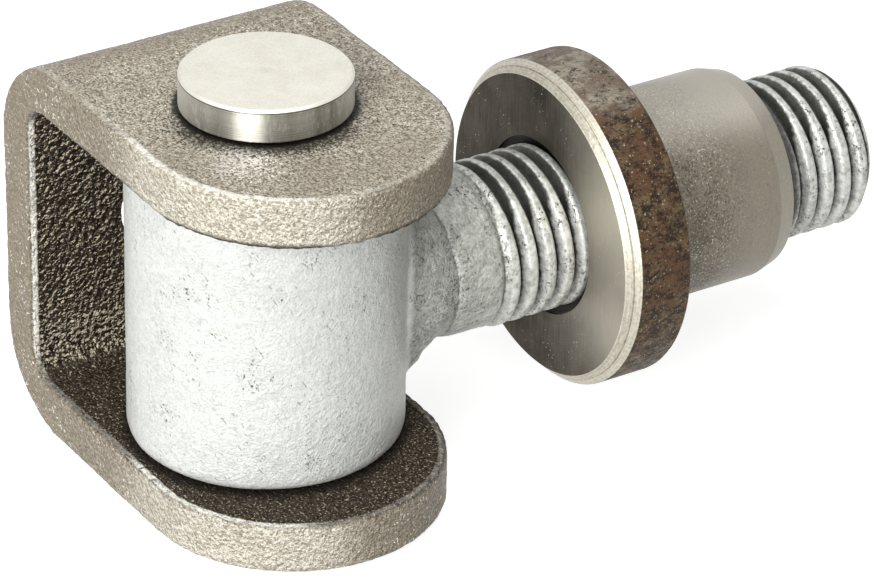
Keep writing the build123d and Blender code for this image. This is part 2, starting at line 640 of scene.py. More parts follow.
@dataclass(frozen=True)
class BlastedSteel:
    """Bare bar after grit blasting: matt, warm grey, all in fine sparkling grain, with painted glints, edge
    highlights and shade.
    """

    light: Colour = (0.78, 0.73, 0.61)
    dark: Colour = (0.19, 0.152, 0.10)
    brown: Colour = (0.29, 0.235, 0.165)
    # Colour of the painted glints and highlights
    glint: Colour = (1.0, 0.97, 0.88)
    # The throat's colours: a darker tone with painted shade
    deep: Colour = (0.008, 0.005, 0.003)
    crumb: Colour = (0.085, 0.062, 0.038)
    # Painted highlights on the throat's beads and specks
    bead_glint: Colour = (0.70, 0.62, 0.47)
    inner_ear_shade_dark: Colour = (0.014, 0.010, 0.006)
    inner_ear_shade_mid: Colour = (0.088, 0.067, 0.042)
    # Lit and shaded copies of the rims' colour: painted light and painted shade
    shaded_rim_low: Colour = (0.115, 0.09, 0.057)
    shaded_rim_high: Colour = (0.40, 0.345, 0.255)
    lit_rim_low: Colour = (0.32, 0.272, 0.192)
    lit_rim_high: Colour = (0.90, 0.865, 0.76)
    # Dark pits, and painted shadow and shade
    dirt_and_shade: Colour = (0.010, 0.008, 0.005)
    grain: float = mm(0.28)
    coarse: float = mm(0.80)
    patch: float = mm(11)

    def edge_distance(self, mix: Recipe, round_end: float) -> Wire:
        """Measure from the bar's middle line, also round its free end.

        Args:
            mix: The material to add to.
            round_end: Where the ears' round ends have their centre.

        Returns:
            The distance, half the bar's width at its edge.
        """
        x, y, _ = mix.split()
        beyond = x - round_end | 0.0
        return mix.length(beyond, y)

    def material(self, throat: float, half_width: float, round_end: float, head_radius: float,
                 barrel_radius: float) -> Material:
        """Return the finish.

        Args:
            throat: The height between the ears, inside which the steel is darker, in tone and by painted shade.
            half_width: Half the bar's width.
            round_end: Where the ears' round ends have their centre.
            head_radius: The pin head's radius, with a painted contact shadow, painted shade and more dark pits round
                it.
            barrel_radius: The barrel's radius, with a painted shadow round it on the ears' inner faces.

        Returns:
            The finished material.
        """
        mix = Recipe("blasted_steel", specular=0.2)
        x, y, z = mix.split()
        grain = mix.noise(self.grain, 2.0, 0.6)
        coarse = mix.noise(self.coarse, 3.0, 0.6)
        patch = mix.noise(self.patch, 2.0)
        speckle = grain * 0.7 + coarse * 0.3
        edge = self.edge_distance(mix, round_end)
        # Painted highlight along the rounded edges of the rims, partly wear: kept to the front rims and the web's
        # inner edge, where light catches them
        worn_edge_highlight = edge.rise(*near(half_width, -1.15, -0.85)) * edge.fall(*near(half_width, -0.45, -0.15))
        height = abs(z)
        front = x.rise(mm(26), mm(33)) * y.fall(mm(-10), mm(-4))
        web = x.fall(mm(8), mm(10)) * height.fall(*near(throat / 2, -4, -1))
        worn_edge_highlight = worn_edge_highlight * (front | web).band(0.0, 1.0, 0.25, 0.9) * coarse.band(0.3, 0.56, 0.2, 1.0)
        ring = mix.from_pin() + coarse * mm(1.0)
        before_head = mix.ahead(TO_CAMERA).rise(mm(1), mm(8))
        # More dark pits round the head, most on its side towards the camera
        near_head = ring.fall(*near(head_radius, 0.8, 4.6), 0.18) * before_head
        near_head = near_head + ring.fall(*near(head_radius, 0.8, 7.5), 0.06)
        pocks = mix.noise(mm(0.29), 1.0) - near_head
        # The rims' sides are painted in a lit copy where they face the light at the front and a shaded copy where
        # they face away, each with painted light and shade on its flakes
        flat_side = edge.rise(*near(half_width, -1.0, -0.3))
        away = y.rise(mm(-9), mm(3))
        lit_side = x.rise(mm(24), mm(36)) * away.fall(0.0, 1.0)
        flake_shading = mix.slope(mm(0.48), (mm(0.04), mm(-0.05), mm(0.09))).rise(0.4, 0.6)
        dull = mix.blend(flake_shading, self.shaded_rim_low, self.shaded_rim_high)
        clean = mix.blend(flake_shading, self.lit_rim_low, self.lit_rim_high)
        # Painted glints: bright flecks of painted highlight on the steel, with more of them in a painted pool of
        # reflected light on the upper ear's top next to the head
        lit = mix.distance((mm(40.5), mm(-9.5), throat / 2 + mm(6))).fall(mm(1.5), mm(6.5), 0.19)
        flecks = mix.noise(mm(0.38), 1.0) + lit
        painted_glints = flecks.rise(0.64, 0.71) * patch.band(0.62, 0.4, 0.35, 1.0)
        # Painted contact shadow under the head's rim, and painted shade on the ear in front of the head
        head_contact_shadow = ring.band(*near(head_radius, -2.0, -0.5), 0.3, 1.0) * ring.fall(*near(head_radius, 0.8, 1.7))
        shaded = ring.fall(*near(head_radius, 1.0, 4.0), 0.7) * before_head * ring.rise(*near(head_radius, -1, 0))
        # Painted shade along the lower edge of the upper ear's rim
        lip_shade = z.fall(*near(throat / 2, 0.2, 0.8)) * edge.rise(*near(half_width, -1.3, -0.6))
        lip_shade = lip_shade * x.rise(mm(14), mm(22)) * z.rise(*near(throat / 2, -0.8, -0.3))
        # Inside the throat the steel is painted dark: a darker tone with painted shade in the recess
        in_throat = height.fall(*near(throat / 2, 0.2, 0.7)) * x.rise(mm(5.2), mm(5.8))
        in_throat = in_throat * edge.fall(*near(half_width, -0.5, 0))
        crumbs = mix.noise(mm(0.6), 2.0, 0.55)
        # Painted light and shade on the throat's beads
        knob_shading = mix.slope(mm(0.62), (mm(0.04), mm(-0.06), mm(0.12))) + z.rise(mm(-6), mm(-15), 0.035)
        on_ears = height.rise(*near(throat / 2, -1.2, -0.4))
        # The ears' inner faces in the throat are painted darker still with shade, and have bright specks of painted
        # highlight
        floor = mix.coats(self.inner_ear_shade_dark, (speckle.rise(0.4, 0.62), self.inner_ear_shade_mid), (pocks.rise(0.6, 0.68, 0.6), self.bead_glint))
        # Painted shadow round the barrel's ends on the ears' inner faces
        under = ring.fall(*near(barrel_radius, 0.3, 1.6), 0.8)
        darker = mix.coats(
            self.deep, (crumbs.rise(0.42, 0.72), self.crumb), (knob_shading.rise(0.525, 0.62), self.bead_glint),
            (on_ears, floor), (under * on_ears, self.deep),
        )
        knobbly = crumbs * in_throat
        body = mix.coats(
            self.dark, (speckle.rise(0.36, 0.66), self.light), (patch.rise(0.42, 0.7, 0.35), self.brown),
            (pocks.fall(0.31, 0.37, 0.85), self.dirt_and_shade), (flat_side * 0.75, mix.blend(lit_side, dull, clean)),
            (x.fall(mm(9), mm(15), 0.35), self.brown), (painted_glints, self.glint), (head_contact_shadow | shaded, self.dirt_and_shade),
            (lip_shade * patch.band(0.4, 0.52, 0.25, 0.95), self.dirt_and_shade), (in_throat, darker), (worn_edge_highlight, self.glint),
        )
        return mix.finished(
            body, 0.12, speckle.band(0.3, 0.7, 0.55, 0.34) + in_throat * 0.3, (knobbly, mm(0.7)),
            (coarse, mm(0.36)), (grain, mm(0.26)),
        )


@dataclass(frozen=True)
class TurnedStainless:
    """Fine-turned stainless steel: a pale satin face, and sides with the lathe's marks round them."""

    tone: Colour = (0.78, 0.76, 0.69)
    shade: Colour = (0.64, 0.62, 0.55)
    side_tone: Colour = (0.45, 0.435, 0.375)
    side_shade: Colour = (0.19, 0.175, 0.14)
    # Scuffs, and a painted highlight
    side_scuff_and_highlight: Colour = (0.50, 0.485, 0.43)
    line: Colour = (0.10, 0.09, 0.07)
    ring: float = mm(0.16)

    def face(self) -> Material:
        """Finish the head's flat top and its bevel.

        Returns:
            The finished material.
        """
        mix = Recipe("stainless_face")
        radius = mix.from_pin()
        rings = mix.noise(self.ring, 2.0, 0.6, at=mix.join(x=radius))
        cloud = mix.noise(mm(3.5), 3.0, 0.55)
        grain = mix.noise(mm(0.22), 1.5)
        mottle = cloud * 0.5 + grain * 0.5
        middle = radius + cloud * mm(1.2)
        middle = middle.fall(mm(0.8), mm(1.9), 0.5) * rings.rise(0.4, 0.6)
        body = mix.coats(self.shade, (mottle.rise(0.3, 0.7), self.tone), (middle, self.side_tone))
        return mix.finished(body, 1.0, mottle.band(0.3, 0.7, 0.56, 0.48), (rings, mm(0.01)), (grain, mm(0.02)))

    def side(self, head_top: float, bevel: float, head_radius: float) -> Material:
        """Return the finish of the head's side and the shank.

        Args:
            head_top: The height of the head's flat top.
            bevel: The height of its bevel, with a dark line under it.
            head_radius: The head's radius.

        Returns:
            The finished material.
        """
        mix = Recipe("stainless_side")
        x, y, z = mix.split()
        rings = mix.noise(self.ring, 3.0, 0.65, at=mix.join(y=z))
        grain = mix.noise(mm(0.22), 1.5)
        broad = mix.noise(mm(3.6), 1.0, at=mix.join(x=x, y=y))
        thin = mix.noise(mm(0.5), 3.0, 0.6, at=mix.stretch((1, 1, 8)))
        streak = broad * 0.75 + thin * 0.25
        # Painted highlight: a bright band down the head's side where it faces the light
        facing = mix.ahead(TO_GLEAM) + thin * mm(0.6)
        scratched = rings.rise(0.5, 0.6) * thin.band(0.35, 0.6, 0.25, 0.8)
        on_head = mix.from_pin().rise(*near(head_radius, -2, -1))
        scuffs = mix.noise(mm(0.42), 2.0, 0.6, at=mix.stretch((1, 1, 2.6))).rise(0.54, 0.66, 0.85) * on_head
        # Painted light on the head's left side
        lit_left_side = mix.ahead(TO_RIGHT).fall(mm(-9.8), mm(-4.5), 0.75) * on_head
        under = abs(z - (head_top - bevel - mm(0.1))).fall(mm(0.04), mm(0.12), 0.8)
        mix.brush("Z", 0.97)
        body = mix.coats(
            self.side_shade, (streak.rise(0.4, 0.6), self.side_tone),
            (facing.rise(head_radius * 0.93, head_radius * 1.02), self.side_scuff_and_highlight), (scratched, self.side_shade),
            (scuffs, self.side_scuff_and_highlight), (lit_left_side, self.tone), (under, self.line),
        )
        return mix.finished(body, 1.0, 0.42, (rings, mm(0.01)), (grain, mm(0.004)))


@dataclass(frozen=True)
class GalvanisedZinc:
    """Hot-dip zinc on a forging: pale, clouded and pitted, with painted shade where it lies deep."""

    light: Colour = (0.78, 0.79, 0.755)
    grey: Colour = (0.60, 0.615, 0.59)
    stem: Colour = (0.66, 0.665, 0.63)
    # Stains, and painted shade
    stain_and_shade: Colour = (0.27, 0.275, 0.25)
    pit: Colour = (0.05, 0.05, 0.045)
    valley_shade: Colour = (0.022, 0.020, 0.017)
    crest_highlight: Colour = (0.95, 0.96, 0.92)
    flow_turns: float = 16.0
    flow_width: float = 0.055

    def flow(self, mix: Recipe) -> Wire:
        """Draw streaks along the stud, as hot metal was drawn from the barrel into the neck.

        Args:
            mix: The material to add to.

        Returns:
            The streaks, from 0 to 1.
        """
        x, y, z = mix.split()
        across = mix.join(x=x - PIN_X, z=z - STUD_Z)
        round_axis = mix.vector("NORMALIZE", across).outputs[0]
        place = mix.vector("ADD", round_axis, mix.join(y=y * self.flow_turns)).outputs[0]
        return mix.noise(self.flow_width, 3.0, 0.65, at=place)

    def thread_shade(self, mix: Recipe, thread: "ThreadForm", bloom: Wire) -> Wire:
        """Return where shade is painted on the thread: in its valleys and on the flanks that face its end.

        Args:
            mix: The material to add to.
            thread: The thread's form.
            bloom: A noise that makes the dark parts ragged.

        Returns:
            The mask, from 0 on the crests to 1 in the valleys.
        """
        x, y, z = mix.split()
        angle = mix.maths("ARCTAN2", STUD_Z - z, x - PIN_X)
        along = (y - thread.crest_at) / thread.pitch
        share = mix.maths("FRACT", along - angle / (2 * math.pi)) - 0.5
        share = share + (bloom - 0.5) * 0.14
        above = z.rise(*near(STUD_Z, 4.0, 9.5))
        towards_end = share + above * 0.11
        towards_eye = above * 0.22 - share
        flanks = towards_end.rise(0.21, 0.29) | towards_eye.rise(0.38, 0.47)
        return flanks * above.band(0.2, 1.0, 1.0, 0.86)

    def material(self, thread: "ThreadForm", thread_start: float, barrel_radius: float, barrel_top: float,
                 nut_end: float) -> Material:
        """Return the finish.

        Args:
            thread: The thread's form.
            thread_start: How far from the pin's axis the thread starts.
            barrel_radius: The barrel's radius.
            barrel_top: Half the barrel's height.
            nut_end: Where the nut ends, behind which a painted shadow darkens the thread.

        Returns:
            The finished material.
        """
        mix = Recipe("galvanised_zinc", specular=0.35)
        _, y, z = mix.split()
        on_thread = y.rise(*near(thread_start, -0.3, 1.2))
        on_thread = on_thread * mix.from_stud().rise(*near(thread.root_radius, -0.5, -0.2))
        calm = on_thread.band(0.0, 1.0, 1.0, 0.4)
        cloud = mix.noise(mm(5.0), 4.0, 0.6)
        bloom = mix.noise(mm(0.9), 3.0, 0.6)
        grain = mix.noise(mm(0.28), 2.0, 0.6)
        mottle = cloud * 0.2 + (grain * 0.5 + bloom * 0.3)
        body = mix.blend(mottle.rise(0.36, 0.6), self.grey, self.light)
        on_stem = mix.from_pin().rise(*near(barrel_radius, 0.15, 1.0))
        stem = mix.blend(1.0, body, self.stem, "MULTIPLY")
        stains = mix.noise(mm(2.2), 5.0, 0.7).rise(0.5, 0.68) * calm
        flow = self.flow(mix)
        on_saddle = on_stem * y.fall(mm(20.0), mm(21.0))
        streaks = flow.rise(0.46, 0.58) * on_saddle
        lines = abs(flow - 0.5).fall(0.0, 0.022, 0.7)
        dull = stains.band(0.0, 1.0, 0.05, 1.0) * on_saddle | lines * on_saddle
        # Painted light and shade of the forging's relief on the stem
        relief_shading = mix.slope(mm(1.5), (mm(0.05), mm(-0.12), mm(0.22)), 4.0)
        # Painted shade in the hollow where the saddle meets the barrel
        from_pin = mix.from_pin() + bloom * mm(1.0)
        hollow = from_pin.rise(*near(barrel_radius, 0.5, 1.0)) * from_pin.fall(*near(barrel_radius, 1.0, 3.0), 0.5)
        stem = mix.coats(
            stem, (stains * 0.85, self.stain_and_shade), (dull * 0.2, self.stain_and_shade), (streaks * 0.36, self.light),
            (relief_shading.fall(0.4, 0.51, 0.68), self.stain_and_shade), (relief_shading.rise(0.52, 0.64, 0.5), self.light),
            (hollow * on_saddle, self.stain_and_shade),
        )
        crowd = mix.noise(mm(4.0), 2.0)
        ragged = mix.noise(mm(0.42), 4.0, 0.8) - on_stem * 0.012
        few = ragged.fall(0.31, 0.35) * mix.noise(mm(1.6), 2.0).rise(0.55, 0.62)
        many = ragged.fall(0.36, 0.41) * (crowd + on_stem * 0.12).rise(0.6, 0.67)
        # Painted shade on one side of shallow dents, mostly where they crowd
        peel = mix.slope(mm(0.6), (mm(0.04), mm(-0.06), mm(0.12)))
        dent_shading = peel.fall(0.33, 0.4, 0.5) * crowd.band(0.5, 0.64, 0.15, 1.0)
        scratch = mix.noise(mm(0.26), 1.0, at=mix.stretch((1, 1, 5), (0.478, -0.345, 0)))
        scratch = scratch.rise(0.69, 0.73, 0.5) * crowd.rise(0.46, 0.54)
        specks = few | many | scratch
        # Painted shade in the thread's valleys and on its flanks
        deep = on_thread * self.thread_shade(mix, thread, bloom)
        # Painted highlight on the thread's crests
        crest_highlight = bloom.band(0.32, 0.62, 0.05, 0.42) * deep.fall(0.0, 0.3)
        # Painted shadow of the nut on the thread just beyond its end
        nut_shadow = y + bloom * mm(0.8)
        nut_shadow = nut_shadow.rise(*near(nut_end, -1.0, 0)) * nut_shadow.fall(*near(nut_end, 2.2, 3.4), 0.85)
        # Painted shade on the saddle just short of the neck's step, on its upper side
        crease = y + crowd * mm(1.4)
        rim = crease.rise(*near(thread_start, -8.0, -5.8), 0.7)
        rim = rim * crease.fall(*near(thread_start, -5.6, -5.3)) * z.rise(*near(STUD_Z, -8, -2))
        # Painted contact shadow round the barrel's ends, next to the ears
        end = abs(z) + bloom * mm(0.8)
        contact_shadow = end.rise(*near(barrel_top, -0.1, 0.35)) * crowd.band(0.4, 0.52, 0.2, 0.8)
        body = mix.coats(
            body, (on_stem, stem), (dent_shading * calm, self.stain_and_shade), (on_thread * crest_highlight, self.crest_highlight), (deep, self.valley_shade),
            (nut_shadow, self.valley_shade), (rim, self.stain_and_shade), (specks, self.pit), (contact_shadow, self.stain_and_shade),
        )
        lumps = mix.noise(mm(1.5), 4.0, 0.6) * on_saddle
        return mix.finished(
            body, y.band(*near(thread_start, -4, 1), 0.12, 0.35), mottle.band(0.3, 0.7, 0.46, 0.32),
            (lumps, mm(0.8)), (bloom * calm, mm(0.18)), (peel * calm, mm(0.14)), (grain, mm(0.07)),
            (specks, mm(-0.12)),
        )


@dataclass(frozen=True)
class TurnedFace:
    """A bare steel face straight from the lathe, dull brown-grey with fine rings and bright dust."""

    tone: Colour = (0.085, 0.073, 0.050)
    shade: Colour = (0.048, 0.039, 0.025)
    # Painted light on the face's right side
    clean: Colour = (0.66, 0.62, 0.52)
    # Painted shade inside the bore's mouth
    mouth: Colour = (0.02, 0.017, 0.012)
    dust: Colour = (0.95, 0.93, 0.88)

    def material(self, mouth_radius: float) -> Material:
        """Finish the face, with painted shade inside the bore's mouth.

        Args:
            mouth_radius: The mouth's radius.

        Returns:
            The finished material.
        """
        mix = Recipe("turned_face")
        radius = mix.from_stud()
        x, y, z = mix.split()
        rings = mix.noise(mm(0.22), 3.0, 0.65, at=mix.join(x=radius, y=y))
        cloud = mix.noise(mm(4.0))
        dust = mix.noise(mm(0.32), 2.0, 0.6).rise(0.67, 0.71) * mix.noise(mm(3.5), 2.0).rise(0.5, 0.58)
        hair = mix.noise(mm(0.3), 3.0, 0.6, at=mix.stretch((1, 1, 14)))
        mottle = cloud * 0.45 + rings * 0.2 + hair * 0.35
        # Painted light: the face is lighter towards its right side, less so low down
        lit_area = x + (mottle - 0.5) * mm(9)
        lit_area = lit_area.rise(*near(PIN_X, -3, 19)) * z.band(*near(STUD_Z, -16, -4), 0.12, 1.0)
        mix.brush("Y", 0.5)
        body = mix.coats(
            self.shade, (mottle.rise(0.4, 0.6), self.tone), (lit_area, self.clean), (dust, self.dust),
            (radius.fall(*near(mouth_radius, -0.2, 0)), self.mouth),
        )
        return mix.finished(body, 1.0, mottle.band(0.3, 0.7, 0.54, 0.46), (rings, mm(0.006)), (dust, mm(0.05)))


@dataclass(frozen=True)
class BrightChamfer:
    """A freshly cut chamfer: bright, with coarse tool lines round it."""

    tone: Colour = (0.62, 0.585, 0.50)
    shade: Colour = (0.30, 0.275, 0.22)

    def material(self) -> Material:
        """Finish the chamfer.

        Returns:
            The finished material.
        """
        mix = Recipe("bright_chamfer")
        rings = mix.noise(mm(0.3), 3.0, 0.7, at=mix.join(x=mix.from_stud()))
        grain = mix.noise(mm(0.4), 2.0, 0.6)
        mottle = rings * 0.7 + grain * 0.3
        return mix.finished(
            mix.blend(mottle.rise(0.35, 0.6), self.shade, self.tone), 1.0, 0.5, (rings, mm(0.05)),
            (grain, mm(0.05)),
        )


@dataclass(frozen=True)
class MillScale:
    """The untouched outside of the bar: dark brown-grey scale with patches of rust."""

    dark: Colour = (0.018, 0.011, 0.006)
    pale: Colour = (0.155, 0.108, 0.058)
    paler_top_and_low: Colour = (0.36, 0.32, 0.255)
    rust: Colour = (0.090, 0.036, 0.016)
    dust: Colour = (0.50, 0.45, 0.36)

    def material(self) -> Material:
        """Finish the rim.

        Returns:
            The finished material.
        """
        mix = Recipe("mill_scale", specular=0.25)
        patch = mix.noise(mm(4.2), 4.0, 0.62)
        flake = mix.noise(mm(0.42), 4.0, 0.75, at=mix.stretch((1, 1.8, 1)))
        grain = mix.noise(mm(0.25), 2.0, 0.6)
        chips = mix.noise(mm(1.3), 4.0, 0.75, at=mix.stretch((1, 1.4, 1)))
        mottle = flake * 0.35 + grain * 0.2 + chips * 0.45
        _, _, z = mix.split()
        rusty = patch.rise(0.44, 0.56) * z.band(mm(-14), mm(2), 0.3, 0.85) * mottle.rise(0.4, 0.56)
        # Paler along the top of the rim and, less, low down on it
        on_top = z.rise(*near(STUD_Z, 17.2, 19.2))
        low_down = z.rise(*near(STUD_Z, -4, -12), 0.5)
        paler_top_and_low = on_top * mottle.rise(0.38, 0.56) | low_down * mottle.rise(0.5, 0.62)
        body = mix.coats(
            self.dark, (mottle.rise(0.44, 0.58), self.pale), (paler_top_and_low, self.paler_top_and_low), (rusty * 0.85, self.rust),
            (mix.noise(mm(0.3), 1.0).rise(0.68, 0.74, 0.8), self.dust),
        )
        return mix.finished(
            body, rusty.band(0.1, 0.6, 0.2, 0.05), mottle.band(0.3, 0.7, 0.66, 0.48), (chips, mm(0.12)),
            (flake, mm(0.07)), (grain, mm(0.03)),
        )


@dataclass(frozen=True)
class DullBoss:
    """The boss: turned, then dulled to an even fine grain, paler towards its far end."""

    tone: Colour = (0.26, 0.231, 0.177)
    shade: Colour = (0.095, 0.079, 0.056)
    far_shade: Colour = (0.20, 0.18, 0.145)
    bright: Colour = (0.80, 0.77, 0.68)

    def material(self, back: float, end: float) -> Material:
        """Return the finish.

        Args:
            back: Where the boss leaves the flange, along the stud.
            end: The boss's far end.

        Returns:
            The finished material.
        """
        mix = Recipe("dull_boss")
        _, y, z = mix.split()
        rings = mix.noise(mm(0.35), 3.0, 0.6, at=mix.join(y=y))
        cloud = mix.noise(mm(5.0), 3.0, 0.55)
        grain = mix.noise(mm(0.3), 2.5, 0.65)
        far = y.rise(back + (end - back) * 0.35, back + (end - back) * 0.75)
        speckle = grain * 0.6 + cloud * 0.4
        lines = rings * 0.45 + speckle * 0.55
        near_body = mix.blend(speckle.rise(0.38, 0.62), self.shade, self.tone)
        far_body = mix.blend(lines.rise(0.3, 0.68), self.far_shade, self.tone)
        glints = mix.noise(mm(0.24), 1.0).rise(0.64, 0.7, 0.6)
        # Brighter on the lead-in at the far end and along the top of the boss
        lead_and_top = y.rise(*near(end, -2.6, -2.2), 0.12) | z.rise(*near(STUD_Z, 8.5, 12.5), 0.35)
        pepper = mix.noise(mm(0.3), 1.0).fall(0.32, 0.38, 0.7) * far.band(0.0, 1.0, 1.0, 0.25)
        body = mix.coats(
            mix.blend(far, near_body, far_body), (glints * far.band(0.0, 1.0, 1.0, 0.2), self.bright),
            (pepper, self.shade), (lead_and_top, self.bright),
        )
        return mix.finished(body, 0.6, far.band(0.0, 1.0, 0.52, 0.4), (rings, mm(0.006)), (grain, mm(0.05)))


@dataclass
class ThreadForm:
    """A right-handed thread with broad round crests and narrow valleys, as left by the zinc."""

    pitch: float = mm(2.5)
    crest_radius: float = mm(10.0)
    root_radius: float = mm(8.75)
    crest_breadth: float = 5.0
    profile_steps: int = 16
    steps: int = 96
    crest_at: float = mm(1.8)

    def height(self, share: float) -> float:
        """Return the radius at a share of the pitch, from one valley to the next."""
        fall = abs(math.cos(math.pi * share)) ** self.crest_breadth
        return self.crest_radius - (self.crest_radius - self.root_radius) * fall

    def rod(self, name: str, start: float, end: float) -> Piece:
        """Return a threaded rod along +Z with flat closed ends.

        Args:
            name: The new piece's name.
            start: The rod's lower end.
            end: The rod's upper end.

        Returns:
            The rod.
        """
        first = math.floor((start - self.crest_at) / self.pitch) - 1
        turns = math.ceil((end - start) / self.pitch) + 3
        bottom = self.crest_at + first * self.pitch
        shares = [step / self.profile_steps for step in range(self.profile_steps + 1)]
        points = [(self.height(share), bottom + share * self.pitch) for share in shares]
        rod = Bench.draw(name, points)
        Bench.sweep(rod, self.steps, rise=self.pitch, turns=turns)
        for place, normal in ((start, -1), (end, 1)):
            with Bench.editing(rod):
                bpy.ops.mesh.bisect(
                    plane_co=(0, 0, place), plane_no=(0, 0, normal), use_fill=True, clear_outer=True,
                    threshold=ON_CUT,
                )
        Bench.weld(rod)
        return rod


@dataclass
class Bracket:
    """Flat bar bent to a U: a web against the post and two round-ended ears."""

    plate: float = mm(6.0)
    throat: float = mm(36.0)
    outer_bend: float = mm(12.0)
    inner_bend: float = mm(3.5)
    rim_round: float = mm(1.1)
    pin_hole: float = mm(6.08)
    end_share: float = 0.9999
    end_steps: int = 32
    outer_steps: int = 20
    inner_steps: int = 12
    rim_steps: int = 4
    rim_degrees: float = 50
    slack: float = mm(0.1)
    throat_slack: float = mm(0.3)
    beyond: float = mm(10)
    voxel: float = mm(0.36)
    relaxing: int = 3
    reliefs: tuple[Relief, ...] = (
        (mm(6.0), mm(0.16), 1), (mm(0.75), mm(0.15), 2), (mm(0.8), mm(0.20), 1, "throat"),
    )
    finish: BlastedSteel = field(default_factory=BlastedSteel)

    def bevel_edges(self, piece: Piece, radius: float, steps: int, direction: int,
                    chosen: Callable[[Vector], bool]) -> None:
        """Round the edges that run along one axis and whose two ends both pass a test.

        Args:
            piece: The piece to bevel.
            radius: The edges' radius.
            steps: The number of steps in the round.
            direction: The axis, as its place in a vector.
            chosen: The test, which gets an end's place.
        """
        with Bench.editing(piece, "DESELECT") as mesh:
            bpy.ops.mesh.select_mode(type="EDGE")
            for edge in mesh.edges:
                run = edge.verts[0].co - edge.verts[1].co
                along = abs(run[direction]) > 0.99 * run.length
                edge.select_set(along and all(chosen(point.co) for point in edge.verts))
            bpy.ops.mesh.bevel(offset=radius, segments=steps, profile=0.5, affect="EDGES", clamp_overlap=True)

    def block(self, name: str, low: Vector, high: Vector) -> Piece:
        """Add a block.

        Args:
            name: The new piece's name.
            low: Its lowest corner.
            high: Its highest corner.

        Returns:
            The block.
        """
        bpy.ops.mesh.primitive_cube_add(size=1, location=(low + high) / 2, scale=high - low)
        piece = bpy.context.object
        piece.name = name
        Bench.place(piece, piece.location.copy())
        return piece

    def blank(self) -> Piece:
        """Shape the outside of the bent bar.

        Returns:
            The bar with its two bends and round ends.
        """
        low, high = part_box("u_bracket")
        high.x = round(high.x, 4)
        blank = self.block("bracket_bar", low, high)
        half_width = (high.y - low.y) / 2
        at_end = high.x - self.slack
        self.bevel_edges(blank, half_width * self.end_share, self.end_steps, AXIS_Z, lambda co: co.x > at_end)
        self.bevel_edges(blank, self.outer_bend, self.outer_steps, AXIS_Y, lambda co: co.x < self.slack)
        return blank

    def hollow(self, blank: Piece) -> None:
        """Take the throat out of the blank.

        Args:
            blank: The solid blank.
        """
        low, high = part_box("u_bracket")
        void_low = Vector((self.plate, low.y - self.beyond, -self.throat / 2))
        void_high = Vector((high.x + self.beyond, high.y + self.beyond, self.throat / 2))
        void = self.block("throat", void_low, void_high)
        self.bevel_edges(void, self.inner_bend, self.inner_steps, AXIS_Y, lambda co: co.x < self.plate + self.slack)
        Bench.cut(blank, void)

    def holes(self, bar: Piece) -> None:
        """Drill the pin's holes and the post bolt's hole.

        Args:
            bar: The bent bar.
        """
        low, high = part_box("u_bracket")
        Bench.drill(bar, self.pin_hole, 2 * (high.z - low.z), ON_PIN)
        bolt_radius = mm(mount("post_bolt_hole")["dims"]["r_mm"])
        Bench.drill(bar, bolt_radius, 4 * self.plate, Vector((0, 0, 0)), (0, math.pi / 2, 0))

    def mark_throat(self, bar: Piece) -> None:
        """Name the points on the inner faces, which are left coarser.

        Args:
            bar: The bent bar.
        """
        group = bar.vertex_groups.new(name="throat")
        top, back = self.throat / 2 + self.throat_slack, self.plate - self.throat_slack
        inside = [point.index for point in bar.data.vertices if abs(point.co.z) < top and point.co.x > back]
        group.add(inside, 1.0, "REPLACE")

    def build(self) -> Piece:
        """Build and dress the bracket.

        Returns:
            The finished bracket.
        """
        bar = self.blank()
        self.hollow(bar)
        Bench.modify(
            bar, "BEVEL", width=self.rim_round, segments=self.rim_steps, limit_method="ANGLE",
            angle_limit=math.radians(self.rim_degrees),
        )
        self.holes(bar)
        Bench.skin(bar, self.voxel, self.relaxing)
        self.mark_throat(bar)
        for relief in self.reliefs:
            Bench.roughen(bar, *relief)
        Bench.smooth(bar, 180.0)
        low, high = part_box("u_bracket")
        half_width = (high.y - low.y) / 2
        round_end = high.x - half_width
        steel = self.finish.material(self.throat, half_width, round_end, HingePin.head_radius, EyeBolt.barrel_radius)
        bar.data.materials.append(steel)
        Bench.hand_over(bar, "u_bracket", "bracket", Slot.BRACKET)
        return bar


@dataclass
class HingePin:
    """Turned pin that hangs from a flat disc head."""

    radius: float = mm(6.0)
    head_radius: float = mm(10.0)
    head_height: float = mm(4.0)
    head_chamfer: float = mm(0.30)
    tip_chamfer: float = mm(1.5)
    edge_round: float = mm(0.12)
    steps: int = 224
    finish: TurnedStainless = field(default_factory=TurnedStainless)

    def section(self) -> list[Point]:
        """Draw the pin's outline.

        Returns:
            Its half section, from the tip's middle to the head's middle.
        """
        low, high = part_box("hinge_pin")
        seat = high.z - self.head_height
        return rounded([
            (0.0, low.z),
            (self.radius - self.tip_chamfer, low.z, self.edge_round),
            (self.radius, low.z + self.tip_chamfer, self.edge_round),
            (self.radius, seat),
            (self.head_radius, seat, self.edge_round),
            (self.head_radius, high.z - self.head_chamfer, self.edge_round),
            (self.head_radius - self.head_chamfer, high.z, self.edge_round),
            (self.head_radius * 0.5, high.z),
            (0.0, high.z),
        ])

    def build(self) -> Piece:
        """Build and dress the pin.

        Returns:
            The finished pin.
        """
        pin = Bench.turned("pin_turned", self.section(), self.steps)
        Bench.place(pin, ON_PIN)
        Bench.smooth(pin, 30.0)
        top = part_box("hinge_pin")[1].z
        pin.data.materials.append(self.finish.face())
        pin.data.materials.append(self.finish.side(top, self.head_chamfer, self.head_radius))
        for face in pin.data.polygons:
            face.material_index = int(face.center.z < top - self.head_chamfer)
        Bench.hand_over(pin, "hinge_pin", "pin", Slot.PIN)
        return pin


